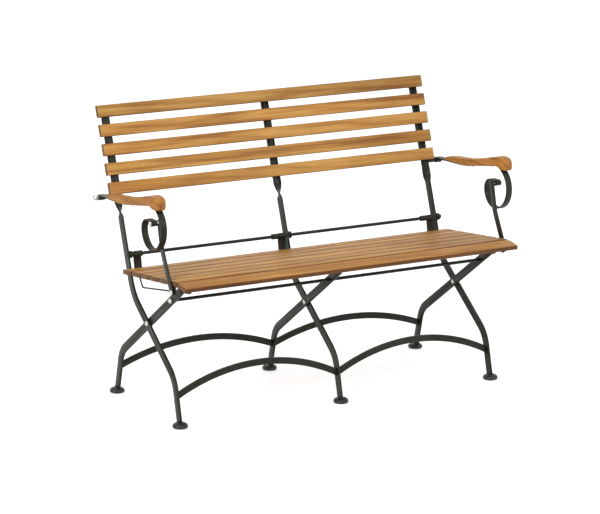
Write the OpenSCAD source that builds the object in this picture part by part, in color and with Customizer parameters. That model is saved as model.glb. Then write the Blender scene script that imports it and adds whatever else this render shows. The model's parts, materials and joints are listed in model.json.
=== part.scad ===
// Folding garden bench: wooden slats on three crossing frames of flat bar.
// Side views are drawn as [y, z], with y to the rear and z up, from the middle of the front feet.

/* [Slats] */
// Length of every slat
slat_l = 1140; // [1000:10:1200]
// Distance from a slat end to the middle of an end post
overhang = 29; // [26:1:34]
// Radius of the eased slat edges
edge_r = 3; // [1:0.5:4]
// Width of a back slat
back_slat_w = 37; // [32:1:42]
// Gap between two back slats
back_gap = 21.4; // [18:0.2:24]
// Thickness of a back slat
back_slat_t = 12; // [10:1:14]
// Width of a seat slat
seat_slat_w = 51; // [48:1:52]
// Gap between two seat slats
seat_gap = 7.5; // [6:0.5:9]
// Thickness of a seat slat
seat_slat_t = 14; // [12:1:16]

/* [Seat] */
// Height of the front edge of the seat
seat_h = 440; // [400:1:480]
// Distance of the front edge of the seat ahead of the front feet
seat_front = 92; // [88:1:96]
// Fall of the seat to the rear, in degrees
seat_tilt = 5.9; // [5:0.1:7]
// Fall of the first slat to the front, in degrees
nose_tilt = 9; // [6:0.5:11]
// Width of the straps under the seat
strap_w = 25; // [22:1:28]
// Thickness of those straps
strap_t = 4; // [3:0.5:5]
// Diameter of the guide wires under the end straps
wire_d = 5; // [4:0.5:6]

/* [Posts and legs] */
// Height of the top slat above the floor
back_h = 880; // [800:5:960]
// Distance from the front feet to the rear feet
foot_span = 426; // [385:1:465]
// Width of the flat bar of posts and legs
bar_w = 25; // [22:1:27]
// Thickness of that flat bar
bar_t = 6; // [5:0.5:7]
// Lean of the lower ends of posts and legs, in degrees
foot_lean = 14; // [12:0.5:15]
// Height of the bend of a post above its foot
knee_z = 138; // [132:1:144]
// Slope of the middle stretch of a post, in degrees
post_rise = 36.8; // [36:0.1:37.4]
// Slope of the upper stretch of a leg, in degrees
leg_rise = 34.9; // [34.4:0.1:35.4]
// Height of the bend of a post behind the seat
waist_z = 336; // [332:1:340]
// Lean of the back, in degrees
back_lean = 19.3; // [18.6:0.1:20]
// Length of the upper stretch of a leg
leg_reach = 473; // [468:1:476]
// Height of the flat bar of the arches
arch_w = 20; // [16:1:22]
// Rise of the front arches
front_rise = 67; // [50:1:80]
// Rise of the rear arches
rear_rise = 51; // [40:1:70]
// Diameter of a foot
foot_d = 46; // [42:1:52]
// Height of a foot
foot_h = 16; // [14:1:20]

/* [Hinges] */
// Diameter of the hinge rod and of the cross rod
rod_d = 10; // [8:0.5:11]
// Radial clearance of a turning pivot
run_fit = 0.05; // [0.02:0.01:0.1]
// Gap beside a turning part
side_gap = 0.6; // [0.4:0.1:1]
// Distance of the cross rod from the top end of a leg
rod_down = 71; // [66:1:76]

/* [Arms] */
// Height of the armrests
arm_h = 690; // [630:1:750]
// Width of an armrest at its front
arm_w = 48; // [44:1:50]
// Width of the arm strips and of the links
strip_w = 20; // [18:1:22]
// Thickness of the arm strips
arm_strip_t = 4; // [3:0.5:5]
// Thickness of the links
link_t = 5; // [4:0.5:6]
// Radius of the outer curve of the scroll
scroll_r = 66; // [62:1:68]

/* [Hidden] */
$fn = 48;
steel = [0.27, 0.28, 0.25];
zinc = [0.74, 0.74, 0.73];
wood = [0.76, 0.52, 0.29];
plastic = [0.13, 0.13, 0.13];

back_count = 5;
seat_count = 7;
post_knee_r = 100;
waist_r = 140;
leg_knee_r = 80;
foot_floor = 5;
foot_gap = 0.3;
rest_gap = 0.3;
screw_r = 2;
screw_gap = 0.1;
screw_head_r = 4.5;
screw_head_h = 2.5;
bite = 8;
twist_l = 46;
twist_gap = 12;
strap_inset = 12;
strap_gap = 3.4;
strap_bend_r = 60;
riser_lean = 10;
riser_r = 10;
hinge_up = 116.5;
hinge_out = 23;
leg_under_seat = 31.4;
ear_r = 11;
rivet_r = 4;
arm_drop = 73.3;
arm_back = 4.5;
arm_bar_r = 7;
arm_pin_r = 5;
link_pin_r = 4;
link_back = 27;
link_drop = 32;
link_lean = 18;
link_neck = 80;
link_bend_r = 150;
scroll_back = 154;
scroll_down = 98;
low_r = 55;
inner_r = 30;
run_l = 173;
run_r = 400;
arm_tail = 62;
curve_lead = 28;
curve_r = 44;
arch_under_knee = 48;
nut_dome = 5;
rod_end = 4;
lap = 0.4;

// Plane geometry
function unit(v) = v / norm(v);
function cross2(a, b) = a[0] * b[1] - a[1] * b[0];
function meet(p, a, q, b) = p + a * cross2(q - p, b) / cross2(a, b);
function arc(c, r, from, to, steps) =
    [for (i = [0:steps]) let (a = from + (to - from) * i / steps) c + r * [cos(a), sin(a)]];
function bend(a, b, c, r, steps) =
    let (u = unit(a - b), v = unit(c - b), half = acos(u * v) / 2,
        centre = b + unit(u + v) * r / sin(half), start = b + u * r / tan(half) - centre,
        from = atan2(start[1], start[0]), sweep = -sign(cross2(u, v)) * (180 - 2 * half))
    arc(centre, r, from, from + sweep, steps);
function round_path(p, r, steps = 10) =
    concat([p[0]],
        [for (i = [1:len(p) - 2]) each bend(p[i - 1], p[i], p[i + 1], r[i - 1], steps)],
        [p[len(p) - 1]]);
function round_loop(p, r, steps = 8) =
    [for (i = [0:len(p) - 1])
        each bend(p[(i + len(p) - 1) % len(p)], p[i], p[(i + 1) % len(p)], r[i], steps)];
function step_dir(p, i) = unit(p[i + 1] - p[i]);
function side_pt(p, i, d) =
    let (last = len(p) - 1, a = step_dir(p, max(i - 1, 0)), b = step_dir(p, min(i, last - 1)),
        m = unit(a + b))
    p[i] + d / (m * a) * [-m[1], m[0]];
function side_path(p, d) = [for (i = [0:len(p) - 1]) side_pt(p, i, d)];
function reversed(p) = [for (i = [len(p) - 1:-1:0]) p[i]];

// Post, seen from the side
post_knee = [knee_z * tan(foot_lean), knee_z];
post_waist = [post_knee[0] + (waist_z - knee_z) / tan(post_rise), waist_z];
up_dir = [sin(back_lean), cos(back_lean)];
out_dir = [cos(back_lean), -sin(back_lean)];
function on_back(s, d = 0) = post_waist + s * up_dir + d * out_dir;
function up_to(z, d) = (z - waist_z + d * sin(back_lean)) / cos(back_lean);
arm_up = up_to(arm_h - arm_drop, arm_back);
back_top = (back_h - waist_z - (bar_t / 2 + back_slat_t) * sin(back_lean)) / cos(back_lean);
function back_slat_s(i) = back_top - back_slat_w / 2 - i * (back_slat_w + back_gap);
low_slat = back_slat_s(back_count - 1);
twist_at = min(arm_up - arm_bar_r, low_slat - back_slat_w / 2) - twist_gap - twist_l;
post_path = round_path([[0, 0], post_knee, post_waist, on_back(twist_at + lap)],
    [post_knee_r, waist_r], 12);

// Leg, seen from the side
leg_knee_z = seat_h - leg_under_seat - leg_reach * sin(leg_rise);
leg_knee = [foot_span - leg_knee_z * tan(foot_lean), leg_knee_z];
leg_dir = [-cos(leg_rise), sin(leg_rise)];
leg_top = leg_knee + leg_reach * leg_dir;
rod_pt = leg_top - rod_down * leg_dir;
leg_path = round_path([[foot_span, 0], leg_knee, leg_top], [leg_knee_r], 10);
pivot = meet(post_knee, [cos(post_rise), sin(post_rise)], leg_knee, leg_dir);
hinge_pt = on_back(hinge_up, -hinge_out);
arm_pt = on_back(arm_up, arm_back);

// Seat planes, with drops measured from the upper face of the slats
nose_dir = [cos(nose_tilt), sin(nose_tilt)];
nose_up = [-sin(nose_tilt), cos(nose_tilt)];
plane_dir = [cos(seat_tilt), -sin(seat_tilt)];
plane_up = [sin(seat_tilt), cos(seat_tilt)];
seat_break = [-seat_front, seat_h] + (seat_slat_w + seat_gap / 2) * nose_dir;
function seat_at(s, d) = seat_break + s * plane_dir - d * plane_up;
function nose_at(s, d) = seat_break - s * nose_dir - d * nose_up;
strap_mid = seat_slat_t + strap_t / 2;
strap_low = seat_slat_t + strap_t;
seat_end = seat_gap / 2 + (seat_count - 1) * (seat_slat_w + seat_gap) - seat_gap;
function seat_slat_s(i) = seat_gap / 2 + (i - 1) * (seat_slat_w + seat_gap);

// Straps rise behind the last slat to an eye on the hinge rod
eye_mean = rod_d / 2 + run_fit + strap_t / 2;
riser_dir = [sin(riser_lean), cos(riser_lean)];
eye_side = hinge_pt + eye_mean * [cos(riser_lean), -sin(riser_lean)];
riser_foot = meet(seat_at(0, strap_mid), plane_dir, eye_side, riser_dir);
strap_break = meet(nose_at(0, strap_mid), nose_dir, seat_at(0, strap_mid), plane_dir);
strap_path = round_path([nose_at(seat_slat_w + seat_gap / 2 - strap_inset, strap_mid),
    strap_break, riser_foot, eye_side], [strap_bend_r, riser_r], 8);

// Places across the bench
post_x = slat_l / 2 - overhang;
leg_x = post_x - bar_t - side_gap;
strap_x = leg_x - bar_t / 2 - strap_gap - strap_w / 2;
mid_post = (bar_t + side_gap) / 2;
mid_leg = -mid_post;
mid_strap = mid_leg - bar_t / 2 - strap_gap - strap_w / 2;
wire_x = strap_x + strap_w / 2 - wire_d / 2 - 1.5;
strap_xs = [-strap_x, mid_strap, strap_x];
post_xs = [-post_x, mid_post, post_x];
link_x = slat_l / 2 + 1 + link_t / 2;
strip_x = link_x + link_t / 2 + 7 + strip_w / 2;
arm_in = slat_l / 2 + 2;
nut_end = arm_in + arm_w;

// Arm strip: rear eye, run under the armrest, front curve, scroll and front eye
arm_eye_mean = arm_pin_r + run_fit + arm_strip_t / 2;
scroll_c = [scroll_back - seat_front, arm_h - scroll_down];
low_c = scroll_c + [0, low_r - scroll_r];
inner_c = low_c + [low_r - inner_r, 0];
link_eye_mean = arm_pin_r + arm_strip_t / 2;
link_top = [scroll_c[0], inner_c[1] + inner_r - link_eye_mean];
run_rear = arm_pt + [0, arm_eye_mean];
run_bend = [scroll_c[0] + run_l, arm_h - arm_tail];
curve_at = 125;
curve_start = scroll_c + scroll_r * [cos(curve_at), sin(curve_at)];
run_front = curve_start + curve_lead * [sin(curve_at), -cos(curve_at)];
run_path = round_path([run_rear, run_bend, run_front, curve_start], [run_r, curve_r], 8);
arm_path = concat(run_path, arc(scroll_c, scroll_r, curve_at + 5, 270, 22),
    arc(low_c, low_r, 276, 360, 14), arc(inner_c, inner_r, 8, 90, 10),
    [link_top + [0, link_eye_mean]]);
link_foot = seat_at(link_back, link_drop);
link_bend = link_top - [link_lean, link_neck];
link_path = round_path([link_foot, link_bend, link_top], [link_bend_r], 10);

// Middle of the whole bench between its front and rear edges
front_y = -seat_front + edge_r * (cos(nose_tilt) + sin(nose_tilt) - 1);
rear_y = on_back(back_top - edge_r, bar_t / 2)[0];
mid_y = (front_y + rear_y) / 2;

module ribbon(p, w) {
    polygon(concat(side_path(p, w / 2), reversed(side_path(p, -w / 2))));
}

// Half circle of points round p, turned from the left of direction u to its right
function cap(p, u, w) = [for (i = [1:11]) let (a = atan2(u[1], u[0]) + 90 - 15 * i) p + w / 2 * [cos(a), sin(a)]];

// Ribbon with a round far end, and a round near end too where both is true
module round_ribbon(p, w, both = false) {
    last = len(p) - 1;
    polygon(concat(side_path(p, w / 2), cap(p[last], step_dir(p, last - 1), w),
        reversed(side_path(p, -w / 2)), both ? cap(p[0], -step_dir(p, 0), w) : []));
}

// A side view stood up, with thickness t about x
module in_side(x, t) {
    translate([x, -mid_y, 0])
        rotate([90, 0, 90])
            linear_extrude(t, center = true)
                children();
}

// Round bar along x through a point of the side view
module pin(pt, x1, x2, r) {
    translate([x1, pt[0] - mid_y, pt[1]])
        rotate([0, 90, 0])
            cylinder(r = r, h = x2 - x1);
}

// Children with their z along the direction u of the side view
module aim(x, pt, u) {
    translate([x, pt[0] - mid_y, pt[1]])
        rotate([atan2(-u[0], u[1]), 0, 0])
            children();
}

// Children with their z along x, outward on the given side
module outward(x, pt, side) {
    translate([x, pt[0] - mid_y, pt[1]])
        rotate([0, 90 * side, 0])
            children();
}

module on_side(side) {
    if (side < 0)
        mirror([1, 0, 0])
            children();
    else
        children();
}

// Domed head with its flat face at z = 0
module dome(r, h) {
    ball_r = (r * r + h * h) / (2 * h);
    edge_a = asin(r / ball_r);
    rotate_extrude($fn = 36)
        polygon(concat([[0, 0]], [for (i = [0:4])
            let (a = edge_a * (1 - i / 4)) ball_r * [sin(a), cos(a)] + [0, h - ball_r]]));
}

// Screw with its shank up along z and its head below z = 0
module screw(l) {
    cylinder(r = screw_r, h = l, $fn = 16);
    translate([0, 0, -screw_head_h])
        cylinder(r = screw_head_r, h = screw_head_h, $fn = 24);
}

module screw_bore(l) {
    translate([0, 0, -1])
        cylinder(r = screw_r + screw_gap, h = l + 1, $fn = 16);
}

// Wooden slat along x: its face is w wide from pt, and its body hangs t below
module slat(pt, turn, w, t) {
    r = edge_r;
    translate([-slat_l / 2, pt[0] - mid_y, pt[1]])
        rotate([turn, 0, 0])
            rotate([90, 0, 90])
                linear_extrude(slat_l)
                    translate([0, -t])
                        polygon(concat(arc([w - r, t - r], r, 0, 90, 4), arc([r, t - r], r, 90, 180, 4),
                            arc([r, r], r, 180, 270, 4), arc([w - r, r], r, 270, 360, 4)));
}

module post_side() {
    difference() {
        ribbon(post_path, bar_w);
        translate([-bar_w, foot_floor - 2 * bar_w])
            square(2 * bar_w);
    }
}

module post(x, turn) {
    color(steel) {
        difference() {
            union() {
                in_side(x, bar_t)
                    post_side();
                in_side(x, bar_t)
                    ribbon([hinge_pt, hinge_pt + hinge_out * out_dir], 2 * ear_r);
                pin(hinge_pt, x - bar_t / 2, x + bar_t / 2, ear_r);
            }
            pin(pivot, x - bar_t, x + bar_t, rivet_r);
            pin(hinge_pt, x - bar_t, x + bar_t, rod_d / 2);
        }
        aim(x, on_back(twist_at), up_dir)
            linear_extrude(twist_l, twist = turn, slices = 12)
                square([bar_t, bar_w], center = true);
        difference() {
            aim(x, on_back(twist_at + twist_l - lap), up_dir)
                translate([-bar_w / 2, -bar_t / 2, 0])
                    cube([bar_w, bar_t, back_top - edge_r - twist_at - twist_l + lap]);
            for (i = [0:back_count - 1])
                aim(x, on_back(back_slat_s(i), bar_t / 2), -out_dir)
                    screw_bore(2 * bar_t);
        }
    }
}

module back_slat(i) {
    start = on_back(back_slat_s(i) - back_slat_w / 2, -bar_t / 2 - back_slat_t);
    color(wood)
        difference() {
            slat(start, 90 - back_lean, back_slat_w, back_slat_t);
            for (x = post_xs)
                aim(x, on_back(back_slat_s(i), bar_t / 2), -out_dir)
                    screw_bore(bar_t + bite + 1);
        }
}

module back_slat_screws() {
    color(zinc)
        for (i = [0:back_count - 1], x = post_xs)
            aim(x, on_back(back_slat_s(i), bar_t / 2), -out_dir)
                screw(bar_t + bite);
}

// Arch between two bars, its ends at height z
module arch(x1, x2, y, z, rise) {
    half = (x2 - x1) / 2;
    r = (half * half + rise * rise) / (2 * rise);
    sweep = asin(half / r) + 2;
    color(steel)
        translate([(x1 + x2) / 2, y - mid_y + bar_t / 2, z + rise - r])
            rotate([90, 0, 0])
                linear_extrude(bar_t)
                    intersection() {
                        ribbon(arc([0, 0], r, 90 - sweep, 90 + sweep, 60), arch_w);
                        translate([-half, 0])
                            square([2 * half, r + arch_w]);
                    }
}

module foot(x, y, path) {
    color(plastic)
        difference() {
            translate([x, y - mid_y, 0])
                rotate_extrude()
                    polygon([[0, 0], [foot_d / 2 - 1, 0], [foot_d / 2, 1], [foot_d / 2, foot_h - 10],
                        [foot_d / 2 - 1, foot_h - 5], [foot_d / 2 - 3, foot_h - 1.5],
                        [foot_d / 2 - 5, foot_h], [0, foot_h]]);
            in_side(x, bar_t + 2 * foot_gap)
                difference() {
                    ribbon(path, bar_w + 2 * foot_gap);
                    translate([y - foot_d, foot_floor - 2 * foot_d])
                        square(2 * foot_d);
                }
        }
}

module hinge_rod() {
    end_x = post_x + bar_t / 2 + rod_end;
    color(steel)
        pin(hinge_pt, -end_x, end_x, rod_d / 2);
}

// Domed nut with a blind hole for a rod end of length l
module cap_nut(r, h, rod_r, l) {
    difference() {
        union() {
            cylinder(r = r, h = h - nut_dome);
            translate([0, 0, h - nut_dome])
                dome(r - 0.5, nut_dome);
        }
        translate([0, 0, -1])
            cylinder(r = rod_r, h = l + 1);
    }
}

module hinge_rod_nuts() {
    color(zinc)
        for (side = [-1, 1])
            outward(side * (post_x + bar_t / 2), hinge_pt, side)
                cap_nut(8.5, rod_end + nut_dome, rod_d / 2, rod_end);
}

module collar(x1, x2) {
    difference() {
        pin(hinge_pt, x1, x2, rod_d / 2 + 3.5);
        pin(hinge_pt, x1 - 1, x2 + 1, rod_d / 2);
    }
}

module hinge_rod_collars() {
    reach = strap_w / 2 + rest_gap;
    color(steel) {
        collar(mid_strap - reach - 24, mid_strap - reach);
        collar(strap_x - reach - 26, strap_x - reach);
        collar(-post_x + bar_t / 2, -strap_x - reach);
    }
}

// Rivet through a post and a leg, its outer head on the post
module pivot_rivet(x, side) {
    depth = 2 * bar_t + side_gap + rest_gap;
    outward(x + side * bar_t / 2, pivot, side) {
        translate([0, 0, -depth])
            cylinder(r = rivet_r, h = depth);
        dome(2 * rivet_r, 4);
        translate([0, 0, -depth])
            mirror([0, 0, 1])
                dome(2 * rivet_r - 1, 3);
    }
}

module pivot_rivets() {
    color(zinc) {
        pivot_rivet(-post_x, -1);
        pivot_rivet(mid_post, 1);
        pivot_rivet(post_x, 1);
    }
}

module arm_bar(side) {
    root_x = post_x + bar_w / 2;
    color(steel)
        on_side(side) {
            pin(arm_pt, root_x, strip_x - strip_w / 2 - rest_gap, arm_bar_r);
            pin(arm_pt, root_x + 1, nut_end - 7, arm_pin_r);
        }
}

module arm_pivot_nuts() {
    start = strip_x + strip_w / 2 + rest_gap;
    color(zinc)
        for (side = [-1, 1])
            outward(side * start, arm_pt, side)
                cap_nut(8.5, nut_end - start, arm_pin_r, nut_end - 7 - start);
}

module leg_side() {
    difference() {
        round_ribbon(leg_path, bar_w);
        translate([foot_span - bar_w, foot_floor - 2 * bar_w])
            square(2 * bar_w);
    }
}

module leg(x) {
    color(steel)
        difference() {
            in_side(x, bar_t)
                leg_side();
            pin(pivot, x - bar_t, x + bar_t, rivet_r + run_fit);
            pin(rod_pt, x - bar_t, x + bar_t, rod_d / 2);
            pin(leg_top, x - bar_t, x + bar_t, rivet_r);
        }
}

module cross_rod() {
    end_x = leg_x + bar_t / 2 + rod_end;
    color(steel)
        pin(rod_pt, -end_x, end_x, rod_d / 2);
}

module cross_rod_nuts() {
    color(zinc)
        for (side = [-1, 1])
            outward(side * (leg_x + bar_t / 2), rod_pt, side)
                cap_nut(8.5, rod_end + nut_dome, rod_d / 2, rod_end);
}

// Rivets at the leg tops, with a short end beside the guide wire
module guide_pins() {
    color(zinc)
        for (x = [-leg_x, mid_leg, leg_x]) {
            side = x < mid_leg ? -1 : 1;
            outward(x + side * bar_t / 2, leg_top, side) {
                translate([0, 0, -bar_t - 3])
                    cylinder(r = rivet_r, h = bar_t + 3);
                if (x != mid_leg)
                    dome(2 * rivet_r - 1, 3);
            }
        }
}

// Axis of a screw through the middle of seat slat i, up from the lower face of the strap
module seat_screw_at(i, x) {
    if (i == 0)
        aim(x, nose_at(seat_gap / 2 + seat_slat_w / 2, strap_low), nose_up)
            children();
    else
        aim(x, seat_at(seat_slat_s(i) + seat_slat_w / 2, strap_low), plane_up)
            children();
}

// Bracket screws stand in the second slat
bracket_t = 5;
bracket_r = 12;
cheek_x = slat_l / 2 - bracket_t / 2;
bracket_screw_x = post_x + 11;
function screw_xs(i) = i == 1 ? concat(strap_xs, [-bracket_screw_x, bracket_screw_x]) : strap_xs;

module seat_slat(i) {
    color(wood)
        difference() {
            if (i == 0)
                slat([-seat_front, seat_h], nose_tilt, seat_slat_w, seat_slat_t);
            else
                slat(seat_at(seat_slat_s(i), 0), -seat_tilt, seat_slat_w, seat_slat_t);
            for (x = screw_xs(i))
                seat_screw_at(i, x)
                    screw_bore(strap_t + bite + 1);
        }
}

module seat_screws() {
    color(zinc)
        for (i = [0:seat_count - 1])
            for (x = screw_xs(i))
                seat_screw_at(i, x)
                    screw(strap_t + bite);
}

module seat_strap(x) {
    color(steel)
        difference() {
            union() {
                in_side(x, strap_w)
                    ribbon(strap_path, strap_t);
                pin(hinge_pt, x - strap_w / 2, x + strap_w / 2, eye_mean + strap_t / 2);
            }
            pin(hinge_pt, x - strap_w, x + strap_w, rod_d / 2 + run_fit);
            for (i = [0:seat_count - 1])
                seat_screw_at(i, x)
                    screw_bore(strap_t + 2);
        }
}

// Corners of a guide wire; its ends run up to the lower face of the strap
wire_drop = 38;
wire_nose_drop = 22;
wire_corners = [seat_at(seat_end - 9, strap_low - strap_t), seat_at(seat_end - 33, strap_low + wire_drop),
    nose_at(2, strap_low + wire_nose_drop), nose_at(22, strap_low - strap_t)];
wire_radii = [14, 12];
turn_lap = 2;

module wire_straight(x, a, b) {
    aim(x, a, unit(b - a))
        cylinder(d = wire_d, h = norm(b - a), $fn = 20);
}

module wire_turn(x, a, b, c, r) {
    u = unit(a - b);
    v = unit(c - b);
    half = acos(u * v) / 2;
    centre = b + unit(u + v) * r / sin(half);
    first = bend(a, b, c, r, 2)[cross2(u, v) > 0 ? 2 : 0] - centre;
    translate([x, centre[0] - mid_y, centre[1]])
        rotate([90, 0, 90])
            rotate([0, 0, atan2(first[1], first[0]) - turn_lap])
                rotate_extrude(angle = 180 - 2 * half + 2 * turn_lap, $fn = 60)
                    translate([r, 0])
                        circle(d = wire_d - 0.04, $fn = 20);
}

module guide_wire(x) {
    p = wire_corners;
    low = bend(p[0], p[1], p[2], wire_radii[0], 2);
    nose = bend(p[1], p[2], p[3], wire_radii[1], 2);
    color(steel)
        difference() {
            union() {
                wire_straight(x, p[0], low[0]);
                wire_turn(x, p[0], p[1], p[2], wire_radii[0]);
                wire_straight(x, low[2], nose[0]);
                wire_turn(x, p[1], p[2], p[3], wire_radii[1]);
                wire_straight(x, nose[2], p[3]);
            }
            in_side(x, 4 * wire_d) {
                ribbon([nose_at(seat_slat_w, strap_low - 10), nose_at(8, strap_low - 10)], 20);
                ribbon([seat_at(100, strap_low - 10), seat_at(seat_end, strap_low - 10)], 20);
            }
        }
}

// Bracket under the end of the second slat, with a cheek for the link
module arm_bracket(side) {
    tab = seat_slat_s(1) + seat_slat_w / 2;
    color(steel)
        on_side(side)
            difference() {
                union() {
                    in_side((post_x + slat_l / 2) / 2, slat_l / 2 - post_x)
                        ribbon([seat_at(tab - 14, strap_mid), seat_at(tab + 14, strap_mid)], strap_t);
                    in_side(cheek_x, bracket_t)
                        ribbon([seat_at(tab - 2, strap_mid), link_foot], 2 * bracket_r);
                    pin(link_foot, cheek_x - bracket_t / 2, cheek_x + bracket_t / 2, bracket_r);
                }
                pin(link_foot, cheek_x - bracket_t, cheek_x + bracket_t, link_pin_r);
                seat_screw_at(1, bracket_screw_x)
                    screw_bore(strap_t + 2);
            }
}

module link_bolts() {
    inner = cheek_x - bracket_t / 2;
    outer = link_x + link_t / 2 + rest_gap;
    color(zinc)
        for (side = [-1, 1]) {
            outward(side * (inner - 3), link_foot, side)
                cylinder(r = link_pin_r, h = outer - inner + 3);
            outward(side * outer, link_foot, side)
                dome(2 * link_pin_r, 5);
            outward(side * (inner - 3), link_foot, side)
                cylinder(r = 7, h = 3);
        }
}

module arm_link(side) {
    x = side * link_x;
    color(steel)
        difference() {
            in_side(x, link_t)
                round_ribbon(link_path, strip_w, both = true);
            pin(link_foot, x - link_t, x + link_t, link_pin_r + run_fit);
        }
}

// Screws up through the arm strip: the ends of a stretch, and the share of its length
arm_screws = [[run_rear, run_bend, 0.6], [run_bend, run_front, 0.2], [run_bend, run_front, 0.75]];

module arm_screw_at(x, s) {
    u = unit(s[0] - s[1]);
    up = [-u[1], u[0]];
    aim(x, s[0] + (s[1] - s[0]) * s[2] - up * arm_strip_t / 2, up)
        children();
}

module arm_strip(side) {
    x = side * strip_x;
    color(steel)
        difference() {
            union() {
                in_side(x, strip_w)
                    ribbon(arm_path, arm_strip_t);
                pin(arm_pt, x - strip_w / 2, x + strip_w / 2, arm_eye_mean + arm_strip_t / 2);
                pin(link_top, x - strip_w / 2, x + strip_w / 2, link_eye_mean + arm_strip_t / 2);
            }
            pin(arm_pt, x - strip_w, x + strip_w, arm_pin_r + run_fit);
            pin(link_top, x - strip_w, x + strip_w, arm_pin_r);
            for (s = arm_screws)
                arm_screw_at(x, s)
                    screw_bore(arm_strip_t + 2);
        }
}

module scroll_bolt(side) {
    inner = link_x + link_t / 2 + 1;
    outer = strip_x + strip_w / 2;
    color(zinc) {
        outward(side * inner, link_top, side)
            cylinder(r = arm_pin_r, h = outer - inner);
        outward(side * outer, link_top, side)
            dome(8, 4);
    }
}

module armrest_screws(side) {
    color(zinc)
        for (s = arm_screws)
            arm_screw_at(side * strip_x, s)
                screw(arm_strip_t + bite);
}

// Armrest seen from the side, from its rear end over the top to the front and back below
arm_bare = 60;
rear_t = 11;
nose_back = 56;
nose_r = 32;
brow_l = 56;
brow_drop = 3;
saddle_l = 163;
saddle_drop = 30;
shoulder_l = 73;
shoulder_drop = 10;
saddle_r = 250;
chin_drop = 42;
heel_l = 32;
heel_drop = 29;
front_arm_y = scroll_c[0] - nose_back;
arm_tail_end = run_rear + arm_bare / (run_rear[0] - run_bend[0]) * (run_bend - run_rear);
arm_rear_y = arm_tail_end[0];
arm_side = round_loop([arm_tail_end, arm_tail_end + [3, rear_t],
    [front_arm_y + brow_l + saddle_l + shoulder_l, arm_h - brow_drop - saddle_drop - shoulder_drop],
    [front_arm_y + brow_l + saddle_l, arm_h - brow_drop - saddle_drop],
    [front_arm_y + brow_l, arm_h - brow_drop],
    [front_arm_y, arm_h],
    [front_arm_y, arm_h - chin_drop],
    [front_arm_y + heel_l, arm_h - heel_drop], run_bend],
    [edge_r, 4, 90, saddle_r, 60, nose_r, 5, 14, run_r]);

// Armrest seen from above, tapering to the rear
plan_wide = front_arm_y + 124;
plan_r = 22;
plan_in = 9;
plan_out = 14;
arm_plan = round_loop([[arm_in, front_arm_y], [arm_in + arm_w, front_arm_y], [arm_in + arm_w - 2, plan_wide],
    [arm_in + arm_w - plan_out, arm_rear_y + 4], [arm_in + plan_in, arm_rear_y + 4], [arm_in + 1, plan_wide]],
    [plan_r, plan_r, run_r, 8, 8, run_r]);

module armrest(side) {
    color(wood)
        on_side(side)
            difference() {
                intersection() {
                    in_side(arm_in + arm_w / 2, 2 * arm_w)
                        polygon(arm_side);
                    translate([0, -mid_y, arm_h - 3 * arm_w])
                        linear_extrude(4 * arm_w)
                            polygon(arm_plan);
                }
                in_side(strip_x, strip_w + 2 * rest_gap)
                    polygon(concat(side_path(run_path, -arm_strip_t / 2),
                        [curve_start - [arm_w, arm_w], run_rear - [0, arm_w]]));
                for (s = arm_screws)
                    arm_screw_at(strip_x, s)
                        screw_bore(arm_strip_t + bite + 1);
            }
}

front_arch_z = knee_z - arch_under_knee;
rear_arch_z = leg_knee_z - arch_under_knee;
front_arch_y = front_arch_z * tan(foot_lean);
rear_arch_y = foot_span - rear_arch_z * tan(foot_lean);

post(-post_x, 90);  // left_post
post(mid_post, 90);  // centre_post
post(post_x, -90);  // right_post
back_slat(0);  // back_slat_1
back_slat(1);  // back_slat_2
back_slat(2);  // back_slat_3
back_slat(3);  // back_slat_4
back_slat(4);  // back_slat_5
back_slat_screws();
arch(-post_x + bar_t / 2, mid_post - bar_t / 2, front_arch_y, front_arch_z, front_rise);  // front_left_arch
arch(mid_post + bar_t / 2, post_x - bar_t / 2, front_arch_y, front_arch_z, front_rise);  // front_right_arch
foot(-post_x, 0, post_path);  // left_front_foot
foot(mid_post, 0, post_path);  // centre_front_foot
foot(post_x, 0, post_path);  // right_front_foot
hinge_rod();
hinge_rod_nuts();
hinge_rod_collars();
pivot_rivets();
arm_bar(-1);  // left_arm_bar
arm_bar(1);  // right_arm_bar
arm_pivot_nuts();
leg(-leg_x);  // left_leg
leg(mid_leg);  // centre_leg
leg(leg_x);  // right_leg
arch(-leg_x + bar_t / 2, mid_leg - bar_t / 2, rear_arch_y, rear_arch_z, rear_rise);  // rear_left_arch
arch(mid_leg + bar_t / 2, leg_x - bar_t / 2, rear_arch_y, rear_arch_z, rear_rise);  // rear_right_arch
foot(-leg_x, foot_span, leg_path);  // left_rear_foot
foot(mid_leg, foot_span, leg_path);  // centre_rear_foot
foot(leg_x, foot_span, leg_path);  // right_rear_foot
cross_rod();
cross_rod_nuts();
guide_pins();
seat_slat(0);  // seat_slat_1
seat_slat(1);  // seat_slat_2
seat_slat(2);  // seat_slat_3
seat_slat(3);  // seat_slat_4
seat_slat(4);  // seat_slat_5
seat_slat(5);  // seat_slat_6
seat_slat(6);  // seat_slat_7
seat_screws();
seat_strap(-strap_x);  // left_seat_strap
seat_strap(mid_strap);  // centre_seat_strap
seat_strap(strap_x);  // right_seat_strap
guide_wire(-wire_x);  // left_guide_wire
guide_wire(wire_x);  // right_guide_wire
arm_bracket(-1);  // left_arm_bracket
arm_bracket(1);  // right_arm_bracket
link_bolts();
armrest(-1);  // left_armrest
arm_strip(-1);  // left_arm_strip
armrest_screws(-1);  // left_armrest_screws
scroll_bolt(-1);  // left_scroll_bolt
armrest(1);  // right_armrest
arm_strip(1);  // right_arm_strip
armrest_screws(1);  // right_armrest_screws
scroll_bolt(1);  // right_scroll_bolt
arm_link(-1);  // left_arm_link
arm_link(1);  // right_arm_link
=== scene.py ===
import json
import math

import bpy
from mathutils import Matrix, Vector


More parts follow.
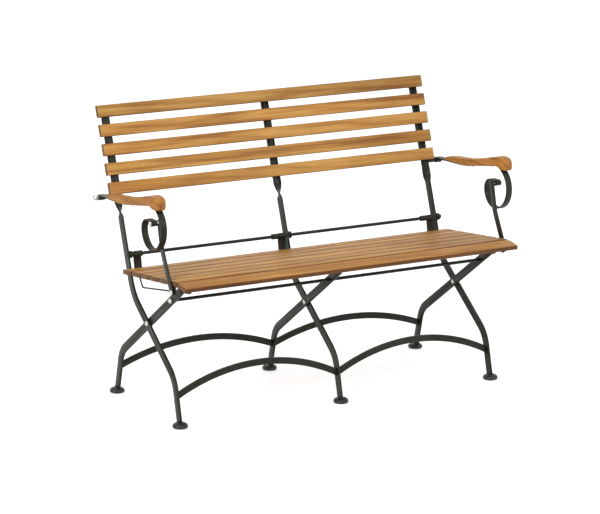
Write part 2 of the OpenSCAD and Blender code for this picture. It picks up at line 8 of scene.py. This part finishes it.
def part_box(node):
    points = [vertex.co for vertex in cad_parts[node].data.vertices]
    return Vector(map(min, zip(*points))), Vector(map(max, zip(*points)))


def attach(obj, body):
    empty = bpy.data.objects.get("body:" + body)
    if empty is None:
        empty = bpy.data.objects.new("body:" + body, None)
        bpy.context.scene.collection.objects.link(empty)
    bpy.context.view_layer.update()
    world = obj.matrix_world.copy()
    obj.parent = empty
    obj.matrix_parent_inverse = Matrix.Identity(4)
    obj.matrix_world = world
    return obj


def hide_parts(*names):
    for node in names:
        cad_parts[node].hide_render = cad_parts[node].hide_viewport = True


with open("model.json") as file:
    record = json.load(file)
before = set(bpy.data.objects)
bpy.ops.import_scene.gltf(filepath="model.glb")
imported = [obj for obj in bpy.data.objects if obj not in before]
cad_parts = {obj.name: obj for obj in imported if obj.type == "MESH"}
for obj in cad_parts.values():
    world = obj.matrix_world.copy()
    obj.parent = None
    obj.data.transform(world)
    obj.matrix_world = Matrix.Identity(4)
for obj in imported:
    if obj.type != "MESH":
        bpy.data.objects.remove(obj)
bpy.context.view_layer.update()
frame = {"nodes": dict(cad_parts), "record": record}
nodes = frame["nodes"]
bodies = frame["record"]["behaviour"]["bodies"]
bodyOf = {name: body for body, names in bodies.items() for name in names}
slotOf = {part["node"]: part["material_slot"] for part in frame["record"]["subparts"]}
print("frame loaded,", len(nodes), "nodes")


def deselectAll():
    if bpy.context.object and bpy.context.object.mode != "OBJECT":
        bpy.ops.object.mode_set(mode="OBJECT")
    bpy.ops.object.select_all(action="DESELECT")


def pick(obj):  # the only selected and active object
    deselectAll()
    obj.select_set(True)
    bpy.context.view_layer.objects.active = obj


def editMode(obj, everything=True):
    pick(obj)
    bpy.ops.object.mode_set(mode="EDIT")
    bpy.ops.mesh.select_all(action="SELECT" if everything else "DESELECT")


def objectMode():
    bpy.ops.object.mode_set(mode="OBJECT")


def applyModifier(obj, kind, **settings):
    pick(obj)
    mod = obj.modifiers.new(kind.title(), kind)
    for key, value in settings.items():
        setattr(mod, key, value)
    bpy.ops.object.modifier_apply(modifier=mod.name)


def smooth(obj, degrees=35):
    pick(obj)
    bpy.ops.object.shade_smooth_by_angle(angle=math.radians(degrees))


def settle(obj):  # place goes into the mesh, so patterns stay put
    pick(obj)
    bpy.ops.object.transform_apply(location=True, rotation=True, scale=True)


merging = {"within": 0.00002, "flatDegrees": 0.4}


def mergedCopy(name):  # a node's loose triangles, joined up into a clean solid
    obj = nodes[name].copy()
    obj.data = nodes[name].data.copy()
    obj.name = name + "_finish"
    for key in list(obj.keys()):
        del obj[key]
    obj.parent = None
    bpy.context.scene.collection.objects.link(obj)
    editMode(obj)
    bpy.ops.mesh.remove_doubles(threshold=merging["within"])
    bpy.ops.mesh.dissolve_limited(angle_limit=math.radians(merging["flatDegrees"]))
    objectMode()
    return obj


def easeEdges(obj, width, segments, above):  # rounds sharp edges and marks the faces made there
    obj.data.materials.clear()
    obj.data.materials.append(None)
    obj.data.materials.append(None)
    applyModifier(obj, "BEVEL", width=width, segments=segments, limit_method="ANGLE",
                  angle_limit=math.radians(above), material=1)
    mark = obj.data.attributes.new("edge", "FLOAT", "FACE")
    for face in obj.data.polygons:
        mark.data[face.index].value = face.material_index
        face.material_index = 0
    obj.data.materials.clear()


camera = {
    "place": (-4.2689, -7.3603, 2.4352),
    "azimuth": -29.96,
    "elevation": 13.40,
    "roll": 0.30,
    "lens": 173.13,
    "sensor": 36,
    "clip": (0.1, 100),
}


def makeCamera(look):
    az, el, roll = (math.radians(look[key]) for key in ("azimuth", "elevation", "roll"))
    back = Vector((math.sin(az) * math.cos(el), -math.cos(az) * math.cos(el), math.sin(el)))
    right = (-back).cross(Vector((0, 0, 1))).normalized()
    up = back.cross(right)
    tiltedRight = math.cos(roll) * right + math.sin(roll) * up
    tiltedUp = math.cos(roll) * up - math.sin(roll) * right
    data = bpy.data.cameras.new("camera")
    data.lens = look["lens"]
    data.sensor_width = look["sensor"]
    data.clip_start, data.clip_end = look["clip"]
    obj = bpy.data.objects.new("camera", data)
    bpy.context.scene.collection.objects.link(obj)
    turn = Matrix((tiltedRight, tiltedUp, back)).transposed().to_4x4()
    obj.matrix_world = Matrix.Translation(Vector(look["place"])) @ turn
    bpy.context.scene.camera = obj


makeCamera(camera)
print("camera set")


def node(tree, kind, **settings):
    made = tree.nodes.new("ShaderNode" + kind)
    for key, value in settings.items():
        if key in made.inputs:
            made.inputs[key].default_value = value
        else:
            setattr(made, key, value)
    return made


def combined(tree, operation, first, second):
    made = node(tree, "Math", operation=operation)
    tree.links.new(first, made.inputs[0])
    tree.links.new(second, made.inputs[1])
    return made.outputs[0]


def span(tree, source, low, high, toLow, toHigh):
    made = node(tree, "MapRange")
    ends = (("From Min", low), ("From Max", high), ("To Min", toLow), ("To Max", toHigh))
    for key, value in ends:
        made.inputs[key].default_value = value
    tree.links.new(source, made.inputs["Value"])
    return made.outputs[0]


light = {
    "horizon": 0.50,
    "zenith": 0.72,
    "key": {"at": (-4.6, -2.6, 4.0), "size": 2.4, "power": 150},
    "fill": {"at": (2.0, -4.4, 2.7), "size": 2.0, "power": 52},
    "rim": {"at": (1.5, 4.2, 3.4), "size": 2.4, "power": 36},
    "aim": (0, 0, 0.45),
    "floorSize": 40,
    "floorDrop": 0.0005,  # keeps it clear of the soles
    "floorSeen": 0.80,  # colour that the camera sees, over the glow
    "floorGlow": 0.52,
    "floorBounce": 0.55,  # colour that only lights the bench from below
}


def areaLamp(name, spec):
    data = bpy.data.lights.new(name, "AREA")
    data.shape = "DISK"
    data.size = spec["size"]
    data.energy = spec["power"]
    obj = bpy.data.objects.new(name, data)
    obj.location = spec["at"]
    toward = Vector(light["aim"]) - Vector(spec["at"])
    obj.rotation_euler = toward.to_track_quat("-Z", "Y").to_euler()
    bpy.context.scene.collection.objects.link(obj)


def backdropRay(tree):  # 1 for rays that show the background, straight or mirrored
    path = node(tree, "LightPath")
    straight = combined(tree, "MAXIMUM", path.outputs["Is Camera Ray"],
                        path.outputs["Is Transmission Ray"])
    return combined(tree, "MAXIMUM", straight, path.outputs["Is Glossy Ray"])


def studioWorld():
    world = bpy.data.worlds.new("studio")
    bpy.context.scene.world = world
    world.use_nodes = True
    tree = world.node_tree
    tree.nodes.clear()
    out = node(tree, "OutputWorld")
    mix = node(tree, "MixShader")
    sky = node(tree, "Background", Color=(1, 1, 1, 1))
    white = node(tree, "Background", Color=(1, 1, 1, 1))
    direction = node(tree, "TexCoord").outputs["Generated"]
    height = node(tree, "SeparateXYZ")
    tree.links.new(direction, height.inputs[0])
    level = span(tree, height.outputs["Z"], 0, 1, light["horizon"], light["zenith"])
    tree.links.new(level, sky.inputs["Strength"])
    tree.links.new(backdropRay(tree), mix.inputs[0])
    tree.links.new(sky.outputs[0], mix.inputs[1])
    tree.links.new(white.outputs[0], mix.inputs[2])
    tree.links.new(mix.outputs[0], out.inputs[0])


def grey(level):
    return (level, level, level, 1)


def makeFloor():
    deselectAll()
    bpy.ops.mesh.primitive_plane_add(size=light["floorSize"], location=(0, 0, -light["floorDrop"]))
    floor = bpy.context.object
    floor.name = "floor"
    settle(floor)
    material = bpy.data.materials.new("floorWhite")
    material.use_nodes = True
    tree = material.node_tree
    tree.nodes.clear()
    out = node(tree, "OutputMaterial")
    mix = node(tree, "MixShader")
    bounce = node(tree, "BsdfDiffuse", Color=grey(light["floorBounce"]))
    seen = node(tree, "BsdfDiffuse", Color=grey(light["floorSeen"]))
    glow = node(tree, "Emission", Strength=light["floorGlow"])
    both = node(tree, "AddShader")
    tree.links.new(seen.outputs[0], both.inputs[0])
    tree.links.new(glow.outputs[0], both.inputs[1])
    tree.links.new(backdropRay(tree), mix.inputs[0])
    tree.links.new(bounce.outputs[0], mix.inputs[1])
    tree.links.new(both.outputs[0], mix.inputs[2])
    tree.links.new(mix.outputs[0], out.inputs[0])
    floor.data.materials.append(material)


studioWorld()
for lampName in ("key", "fill", "rim"):
    areaLamp(lampName, light[lampName])
makeFloor()
bpy.context.scene.view_settings.view_transform = "Standard"
print("light and floor set")


def newMaterial(name):
    material = bpy.data.materials.new(name)
    material.use_nodes = True
    tree = material.node_tree
    return material, tree, tree.nodes["Principled BSDF"]


def stretched(tree, source, scale):  # the same place, scaled by a different amount each way
    made = node(tree, "Mapping", Scale=scale)
    tree.links.new(source, made.inputs["Vector"])
    return made.outputs[0]


def noise(tree, source, settings):
    made = node(tree, "TexNoise", **settings)
    tree.links.new(source, made.inputs["Vector"])
    return made.outputs["Fac"]


def ramp(tree, source, stops):
    made = tree.nodes.new("ShaderNodeValToRGB")
    elements = made.color_ramp.elements
    while len(elements) > 1:
        elements.remove(elements[-1])
    elements[0].position, elements[0].color = stops[0][0], (*stops[0][1], 1)
    for position, colour in stops[1:]:
        elements.new(position).color = (*colour, 1)
    tree.links.new(source, made.inputs["Fac"])
    return made.outputs["Color"]


def mixColour(tree, kind, factor, first, second):
    made = node(tree, "MixRGB", blend_type=kind)
    for socket, value in ((0, factor), (1, first), (2, second)):
        if isinstance(value, (int, float)):
            made.inputs[socket].default_value = value
        elif isinstance(value, tuple):
            made.inputs[socket].default_value = (*value, 1)
        else:
            tree.links.new(value, made.inputs[socket])
    return made.outputs[0]


def marked(tree, name):  # how far a face carries that mark
    return node(tree, "Attribute", attribute_name=name).outputs["Fac"]


def bumped(tree, shader, height, strength, distance):
    bump = node(tree, "Bump", Strength=strength, Distance=distance)
    tree.links.new(height, bump.inputs["Height"])
    tree.links.new(bump.outputs[0], shader.inputs["Normal"])


wood = {
    "pale": (0.72, 0.390, 0.100),
    "honey": (0.54, 0.255, 0.052),
    "brown": (0.30, 0.112, 0.026),
    "vein": (0.18, 0.062, 0.018),
    "endGrain": (0.17, 0.075, 0.026),
    "worn": (0.60, 0.330, 0.110),
    "side": (0.30, 0.225, 0.17),  # painted shade: what the long narrow sides in the gaps keep of the face's colour
    "roughness": (0.44, 0.62),
    "specular": 0.32,
    "bump": (0.22, 0.0005),
}

grain = {  # each pattern is squeezed along and across the wood, then takes its share of the colour
    "bands": {
        "squeeze": (1.3, 30, 30),
        "noise": {"Scale": 1.0, "Detail": 5, "Roughness": 0.6, "Distortion": 0.8},
        "tones": [(0.28, "brown"), (0.44, "honey"), (0.58, "pale"), (0.70, "honey"),
                  (0.82, "brown")],
    },
    "growth": {  # growth lines that wander
        "squeeze": (0.07, 1, 1),
        "wave": {"Scale": 17, "Distortion": 7.5, "Detail": 2.5, "Detail Scale": 0.9,
                 "Detail Roughness": 0.6},
        "tones": [(0.0, (0.66, 0.55, 0.45)), (0.25, (0.93, 0.9, 0.86)), (0.6, (1, 1, 1))],
        "share": 0.55,
    },
    "veins": {
        "squeeze": (2.2, 120, 120),
        "noise": {"Scale": 1.0, "Detail": 3, "Roughness": 0.55},
        "reach": (0.60, 0.72),
        "share": 0.55,
    },
    "fibre": {
        "squeeze": (14, 620, 620),
        "noise": {"Scale": 1.0, "Detail": 3, "Roughness": 0.6},
        "tones": [(0.30, (0.62, 0.56, 0.5)), (0.55, (1, 1, 1))],
        "share": 0.6,
    },
    "cloud": {
        "squeeze": (3.5, 9, 9),
        "noise": {"Scale": 1.0, "Detail": 2},
        "tones": [(0.33, (0.76, 0.68, 0.60)), (0.50, (1, 1, 1)), (0.68, (1.14, 1.15, 1.16))],
        "share": 0.8,
    },
    "rubbed": (0.3, 0.7, 0.15, 0.6),
    "roughness": (0.2, 0.8),
    "sawn": {  # depths before the end where the dark starts and where it is full
        "starts": 0.0010,
        "full": 0.0004,
        "share": 0.9,
        "noise": {"Scale": 160, "Detail": 3},
        "dark": 0.6,
        "stops": (0.35, 0.65),
    },
}


def drawn(tree, along, spec):
    return noise(tree, stretched(tree, along, spec["squeeze"]), spec["noise"])


def toned(tree, colour, source, spec):
    return mixColour(tree, "MULTIPLY", spec["share"], colour, ramp(tree, source, spec["tones"]))


def sawnEnds(tree, place, colour, halfLength):  # they drink more oil and go dark
    sawn = grain["sawn"]
    reach = node(tree, "SeparateXYZ")
    tree.links.new(place, reach.inputs[0])
    size = node(tree, "Math", operation="ABSOLUTE")
    tree.links.new(reach.outputs["X"], size.inputs[0])
    here = span(tree, size.outputs[0], halfLength - sawn["starts"], halfLength - sawn["full"],
                0, sawn["share"])
    dark = tuple(sawn["dark"] * part for part in wood["endGrain"])
    stops = list(zip(sawn["stops"], (dark, wood["endGrain"])))
    endTone = ramp(tree, noise(tree, place, sawn["noise"]), stops)
    return mixColour(tree, "MIX", here, colour, endTone)


def woodMaterial(name, turn, shift, tint, halfLength):
    material, tree, shader = newMaterial(name)
    place = node(tree, "TexCoord").outputs["Object"]
    turned = node(tree, "Mapping", Location=shift, Rotation=turn)
    tree.links.new(place, turned.inputs["Vector"])
    along = turned.outputs[0]
    bands, growth, veins, cloud = (grain[key] for key in ("bands", "growth", "veins", "cloud"))
    bandTones = [(position, wood[tone]) for position, tone in bands["tones"]]
    colour = ramp(tree, drawn(tree, along, bands), bandTones)
    wave = node(tree, "TexWave", wave_type="BANDS", bands_direction="DIAGONAL", **growth["wave"])
    tree.links.new(stretched(tree, along, growth["squeeze"]), wave.inputs["Vector"])
    colour = toned(tree, colour, wave.outputs["Fac"], growth)
    veined = span(tree, drawn(tree, along, veins), *veins["reach"], 0, veins["share"])
    colour = mixColour(tree, "MIX", veined, colour, wood["vein"])
    fibre = drawn(tree, along, grain["fibre"])
    colour = toned(tree, colour, fibre, grain["fibre"])
    colour = toned(tree, colour, drawn(tree, along, cloud), cloud)
    rubbed = combined(tree, "MULTIPLY", marked(tree, "edge"), span(tree, fibre, *grain["rubbed"]))
    colour = mixColour(tree, "MIX", rubbed, colour, wood["worn"])
    colour = mixColour(tree, "MULTIPLY", 1.0, colour, tint)
    # painted shade: the long narrow sides in the gaps between slats are darkened
    colour = mixColour(tree, "MULTIPLY", marked(tree, "side"), colour, wood["side"])
    if halfLength:
        colour = sawnEnds(tree, place, colour, halfLength)
    tree.links.new(colour, shader.inputs["Base Color"])
    roughness = span(tree, fibre, *grain["roughness"], *wood["roughness"])
    tree.links.new(roughness, shader.inputs["Roughness"])
    shader.inputs["Specular IOR Level"].default_value = wood["specular"]
    bumped(tree, shader, fibre, *wood["bump"])
    return material


steel = {
    "colour": (0.0150, 0.0165, 0.0105),
    "dusty": (0.0330, 0.0345, 0.0250),
    "worn": (0.066, 0.068, 0.054),
    "stops": (0.38, 0.72),
    "rubbed": (0.38, 0.62, 0.1, 0.75),
    "roughness": (0.3, 0.7, 0.30, 0.48),
    "specular": 0.20,
    "cloud": {"Scale": 16, "Detail": 5, "Roughness": 0.62},
    "orangePeel": {"Scale": 420, "Detail": 2},
    "bump": (0.20, 0.0003),
}


def steelMaterial():
    material, tree, shader = newMaterial("steelPaint")
    place = node(tree, "TexCoord").outputs["Object"]
    cloud = noise(tree, place, steel["cloud"])
    colour = ramp(tree, cloud, list(zip(steel["stops"], (steel["colour"], steel["dusty"]))))
    rubbed = combined(tree, "MULTIPLY", marked(tree, "edge"), span(tree, cloud, *steel["rubbed"]))
    colour = mixColour(tree, "MIX", rubbed, colour, steel["worn"])
    tree.links.new(colour, shader.inputs["Base Color"])
    shader.inputs["Specular IOR Level"].default_value = steel["specular"]
    tree.links.new(span(tree, cloud, *steel["roughness"]), shader.inputs["Roughness"])
    bumped(tree, shader, noise(tree, place, steel["orangePeel"]), *steel["bump"])
    return material


zinc = {
    "cloud": {"Scale": 260, "Detail": 4, "Roughness": 0.6},
    "tones": [(0.30, (0.42, 0.41, 0.37)), (0.52, (0.60, 0.59, 0.55)), (0.75, (0.72, 0.71, 0.68))],
    "roughness": (0.3, 0.7, 0.24, 0.42),
    "bump": (0.08, 0.0002),
}


def brightMaterial():
    material, tree, shader = newMaterial("brightZinc")
    place = node(tree, "TexCoord").outputs["Object"]
    cloud = noise(tree, place, zinc["cloud"])
    tree.links.new(ramp(tree, cloud, zinc["tones"]), shader.inputs["Base Color"])
    shader.inputs["Metallic"].default_value = 1
    tree.links.new(span(tree, cloud, *zinc["roughness"]), shader.inputs["Roughness"])
    bumped(tree, shader, cloud, *zinc["bump"])
    return material


plastic = {
    "dust": {"Scale": 60, "Detail": 4},
    "tones": [(0.35, (0.006, 0.006, 0.0065)), (0.75, (0.016, 0.016, 0.015))],
    "roughness": (0.3, 0.7, 0.38, 0.55),
    "pebble": {"Scale": 1400, "Detail": 2},
    "bump": (0.2, 0.0002),
}


def plasticMaterial():
    material, tree, shader = newMaterial("blackPlastic")
    place = node(tree, "TexCoord").outputs["Object"]
    dust = noise(tree, place, plastic["dust"])
    tree.links.new(ramp(tree, dust, plastic["tones"]), shader.inputs["Base Color"])
    tree.links.new(span(tree, dust, *plastic["roughness"]), shader.inputs["Roughness"])
    bumped(tree, shader, noise(tree, place, plastic["pebble"]), *plastic["bump"])
    return material


steelPaint = steelMaterial()
brightZinc = brightMaterial()
blackPlastic = plasticMaterial()
print("finishes made")


def dress(obj, material, name):  # takes the place of the node of that name
    obj.data.materials.clear()
    obj.data.materials.append(material)
    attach(obj, bodyOf[name])
    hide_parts(name)


slats = {
    "halfLength": 0.570,
    "easing": 0.0009,
    "segments": 2,
    "sharp": 60,
    "endFace": 0.5,
    "side": {"from": 0.86, "over": 0.4},  # how far a face has turned away from the broad one, for the painted shade in the gaps
    "backTones": [0.82, 0.94, 1.0, 0.97, 0.94],
    "seatTones": [0.90, 0.93, 0.76, 0.95, 0.78, 0.90, 0.74],
    "warmth": (0.98, 0.02),
    "firstSeed": {"back": 2, "seat": 9},  # moves each slat to another place in the grain
    "shift": (3.7, 0.31, 0.17),
}


def markGapShade(obj):  # painted shade mask: 1 on the long narrow sides, which lie in the gaps, 0 on the broad faces
    faces = obj.data.polygons
    broad = max(faces, key=lambda face: face.area).normal.copy()
    side = slats["side"]
    mark = obj.data.attributes.new("side", "FLOAT", "FACE")
    for face in faces:
        facing = abs(face.normal.dot(broad))
        if abs(face.normal.x) < slats["endFace"]:
            mark.data[face.index].value = min(1, max(0, (side["from"] - facing) / side["over"]))


def finishSlat(name, seed, tone):
    obj = mergedCopy(name)
    easeEdges(obj, slats["easing"], slats["segments"], slats["sharp"])
    # marks the faces that get the painted shade in the gaps
    markGapShade(obj)
    smooth(obj)
    warm = slats["warmth"][0] + slats["warmth"][1] * (seed % 3)
    tint = (tone, tone * warm, tone * warm * warm)
    shift = tuple(step * seed for step in slats["shift"])
    dress(obj, woodMaterial(name + "Wood", (0, 0, 0), shift, tint, slats["halfLength"]), name)


for part in ("back", "seat"):
    for i, tone in enumerate(slats[part + "Tones"]):
        finishSlat("%s_slat_%d" % (part, i + 1), i + slats["firstSeed"][part], tone)
print("slats finished")


armrest = {
    "voxel": 0.0021,
    "dip": {"deep": 0.0070, "from": -0.165, "to": 0.140},  # the saddle where the forearm lies
    "upward": {"above": 0.3, "over": 0.9},  # how far a point has to face up to be lowered
    "nose": {"reach": 0.052, "deep": 0.040},  # quarter oval at the front end
    "rounds": 20,
    "softness": 0.5,
    "keep": 0.35,
    "tint": (0.86, 0.73, 0.54),
    "turn": (0, 0, math.radians(90)),
    "smoothDegrees": 60,
}


def shapeArmrest(obj):  # carves the saddle and rounds the front end
    points = obj.data.vertices
    lowest = min(vertex.co.y for vertex in points)
    dip, nose, up = armrest["dip"], armrest["nose"], armrest["upward"]
    crown = max(vertex.co.z for vertex in points if vertex.co.y < lowest + nose["reach"])
    for vertex in points:
        upward = min(1, max(0, (vertex.normal.z + up["above"]) / up["over"]))
        part = (vertex.co.y - dip["from"]) / (dip["to"] - dip["from"])
        if 0 < part < 1:
            vertex.co.z -= dip["deep"] * upward * math.sin(math.pi * part) ** 2
        across = 1 - (vertex.co.y - lowest) / nose["reach"]
        rise = (vertex.co.z - crown + nose["deep"]) / nose["deep"]
        away = math.hypot(across, rise)
        if across > 0 and rise > 0 and away > 1:
            vertex.co.y = lowest + (1 - across / away) * nose["reach"]
            vertex.co.z = crown - nose["deep"] * (1 - rise / away)


for i, side in enumerate(("left", "right")):
    rest = mergedCopy(side + "_armrest")
    applyModifier(rest, "REMESH", mode="VOXEL", voxel_size=armrest["voxel"])
    shapeArmrest(rest)
    applyModifier(rest, "SMOOTH", factor=armrest["softness"], iterations=armrest["rounds"])
    applyModifier(rest, "DECIMATE", ratio=armrest["keep"])
    smooth(rest, armrest["smoothDegrees"])
    shift = (5.1 + 2 * i, 0.4, 0.2)  # another place in the grain for each
    armWood = woodMaterial(side + "ArmWood", armrest["turn"], shift, armrest["tint"], 0)
    dress(rest, armWood, side + "_armrest")
print("armrests finished")


bars = {"easing": 0.0009, "segments": 2, "sharp": 50}
for name, slotName in sorted(slotOf.items()):
    if slotName == "painted_steel":
        bar = mergedCopy(name)
        easeEdges(bar, bars["easing"], bars["segments"], bars["sharp"])
        smooth(bar)
        dress(bar, steelPaint, name)
print("steel bars finished")


def turnedPiece(name, sides, rings):  # drawn up along z, ring by ring of (radius, height)
    deselectAll()
    radius, height = rings[0]
    bpy.ops.mesh.primitive_circle_add(vertices=sides, radius=radius, fill_type="NGON",
                                      location=(0, 0, height))
    obj = bpy.context.object
    obj.name = name
    settle(obj)
    editMode(obj)
    for nextRadius, nextHeight in rings[1:]:
        rise = (0, 0, nextHeight - height)
        bpy.ops.mesh.extrude_region_move(TRANSFORM_OT_translate={"value": rise})
        bpy.ops.transform.resize(value=(nextRadius / radius, nextRadius / radius, 1))
        radius, height = nextRadius, nextHeight
    bpy.ops.mesh.select_all(action="SELECT")
    bpy.ops.mesh.normals_make_consistent(inside=False)
    objectMode()
    return obj


def placedCopy(source, name, at, toward):  # has its own mesh, its z turned to point that way
    obj = source.copy()
    obj.data = source.data.copy()
    obj.name = name
    bpy.context.scene.collection.objects.link(obj)
    turn = Vector(toward).to_track_quat("Z", "X").to_matrix().to_4x4()
    obj.matrix_world = Matrix.Translation(Vector(at)) @ turn
    settle(obj)
    return obj


def joined(name, pieces):
    deselectAll()
    for each in pieces:
        each.select_set(True)
    bpy.context.view_layer.objects.active = pieces[0]
    if len(pieces) > 1:
        bpy.ops.object.join()
    pieces[0].name = name
    return pieces[0]


dome = {"steps": 7, "lastDegrees": 84}


def domeRings(radius, base, rise):  # quarter round from the rim nearly to the crown
    steps = dome["steps"]
    turns = [math.radians(dome["lastDegrees"] * i / steps) for i in range(1, steps + 1)]
    return [(radius * math.cos(turn), base + rise * math.sin(turn)) for turn in turns]


foot = {
    "rings": [(0.0175, 0), (0.0205, 0.0006), (0.0222, 0.0022), (0.0230, 0.0048), (0.0229, 0.0072),
              (0.0218, 0.0098), (0.0198, 0.0120), (0.0172, 0.0138), (0.0146, 0.0151),
              (0.0134, 0.0160)],
    "sides": 48,
    "smoothDegrees": 50,
}
footModel = turnedPiece("footModel", foot["sides"], foot["rings"])
for name, slotName in sorted(slotOf.items()):
    if slotName == "black_plastic":
        low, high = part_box(name)
        at = ((low.x + high.x) / 2, (low.y + high.y) / 2, 0)
        pad = placedCopy(footModel, name + "_finish", at, (0, 0, 1))
        smooth(pad, foot["smoothDegrees"])
        dress(pad, blackPlastic, name)
bpy.data.objects.remove(footModel)
print("feet finished")


screws = {
    "faceArea": (50e-6, 72e-6),  # of a head's flat top, in square metres
    "corners": 12,
    "rim": 0.0019,
    "wall": 0.0002,
    "depth": 0.0013,
    "easing": 0.0004,
    "segments": 2,
    "sharp": 60,
}


def finishScrews(name):  # a socket is let into each head
    obj = mergedCopy(name)
    smallest, largest = screws["faceArea"]
    editMode(obj, False)
    objectMode()
    faces = obj.data.polygons
    for face in faces:
        isRound = len(face.vertices) > screws["corners"]
        face.select = smallest < face.area < largest and isRound
    heads = sum(face.select for face in faces)
    bpy.ops.object.mode_set(mode="EDIT")
    bpy.ops.mesh.select_mode(type="FACE")
    bpy.ops.mesh.inset(thickness=screws["rim"], depth=0, use_individual=True)
    bpy.ops.mesh.inset(thickness=screws["wall"], depth=-screws["depth"], use_individual=True)
    objectMode()
    applyModifier(obj, "BEVEL", width=screws["easing"], segments=screws["segments"],
                  limit_method="ANGLE", angle_limit=math.radians(screws["sharp"]))
    smooth(obj)
    dress(obj, brightZinc, name)
    print(name, heads, "heads")


for name in ("back_slat_screws", "seat_screws", "left_armrest_screws", "right_armrest_screws"):
    finishScrews(name)


def onEachSide(name, model, base, sides=(-1, 1)):  # at the node's own height, facing outwards
    low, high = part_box(name)
    y, z = (low.y + high.y) / 2, (low.z + high.z) / 2
    return [placedCopy(model, "%s_%d" % (name, i), (side * base, y, z), (side, 0, 0))
            for i, side in enumerate(sides)]


fittings = {
    "painted": ("hinge_rod_nuts", "guide_pins"),  # the photo shows no bright metal at these
    "smoothDegrees": 32,
}


def finishFittings(name, copies):
    piece = joined(name + "_finish", copies)
    smooth(piece, fittings["smoothDegrees"])
    if name in fittings["painted"]:
        dress(piece, steelPaint, name)
    else:
        dress(piece, brightZinc, name)


capNut = {
    "corner": 0.0085,
    "chamfer": 0.0007,
    "dome": 0.0070,
    "rise": 0.0050,
    "sunk": 0.0006,
    "domeSides": 32,
    "spans": {  # from the inner face to the tip, along x
        "arm_pivot_nuts": (0.6033, 0.6200),
        "cross_rod_nuts": (0.5374, 0.5464),
        "hinge_rod_nuts": (0.5440, 0.5530),
    },
}


def capNutModel(length):  # six flats, a chamfer at both ends and a domed cap
    corner, cut, wide = capNut["corner"], capNut["chamfer"], capNut["dome"]
    top = length - capNut["rise"]
    body = turnedPiece("nutBody", 6, [(corner - cut, 0), (corner, cut), (corner, top - cut),
                                      (corner - cut, top)])
    cap = turnedPiece("nutCap", capNut["domeSides"], [(wide, top - capNut["sunk"]), (wide, top)]
                      + domeRings(wide, top, capNut["rise"]))
    return joined("capNut", [body, cap])


for name, (base, tip) in capNut["spans"].items():
    model = capNutModel(tip - base)
    finishFittings(name, onEachSide(name, model, base))
    bpy.data.objects.remove(model)
print("cap nuts finished")


rivets = {
    "sides": 32,
    "rings": {  # the head's underside is at height 0
        "pivot": [(radius, -0.0129 - height)
                  for radius, height in reversed(domeRings(0.007, 0, 0.003))]
                 + [(0.0070, -0.0129), (0.0040, -0.0128), (0.0040, -0.0001), (0.0080, 0)]
                 + domeRings(0.008, 0, 0.004),
        "guide": [(0.0032, -0.0090), (0.0040, -0.0084), (0.0040, -0.0001), (0.0070, 0)]
                 + domeRings(0.007, 0, 0.003),
        "short": [(0.0032, -0.0090), (0.0040, -0.0084), (0.0040, -0.0006), (0.0034, 0)],
        "scroll": [(0.0042, -0.0260), (0.0050, -0.0252), (0.0050, -0.0001), (0.0080, 0)]
                  + domeRings(0.008, 0, 0.004),
        "link": [(0.0062, -0.0143), (0.0070, -0.0137), (0.0070, -0.0119), (0.0064, -0.0113),
                 (0.0040, -0.0112), (0.0040, -0.0001), (0.0080, 0)] + domeRings(0.008, 0, 0.005),
    },
    "out": {"pivot": 0.5440, "guide": 0.5374, "link": 0.5763, "scroll": 0.6030},
    "middle": {"pivot": 0.0063, "short": -0.0003},
}
rivetModels = {kind: turnedPiece(kind + "Rivet", rivets["sides"], rings)
               for kind, rings in rivets["rings"].items()}


def sideRivets(name, kind, sides=(-1, 1)):
    return onEachSide(name, rivetModels[kind], rivets["out"][kind], sides)


def middleRivet(name, kind):  # the one at the centre post or leg, facing right
    low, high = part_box(name)
    at = (rivets["middle"][kind], (low.y + high.y) / 2, (low.z + high.z) / 2)
    return [placedCopy(rivetModels[kind], name + "_middle", at, (1, 0, 0))]


for name, kind, inner in (("pivot_rivets", "pivot", "pivot"), ("guide_pins", "guide", "short")):
    finishFittings(name, sideRivets(name, kind) + middleRivet(name, inner))
finishFittings("link_bolts", sideRivets("link_bolts", "link"))
finishFittings("left_scroll_bolt", sideRivets("left_scroll_bolt", "scroll", (-1,)))
finishFittings("right_scroll_bolt", sideRivets("right_scroll_bolt", "scroll", (1,)))
for model in rivetModels.values():
    bpy.data.objects.remove(model)
print("rivets and bolts finished")
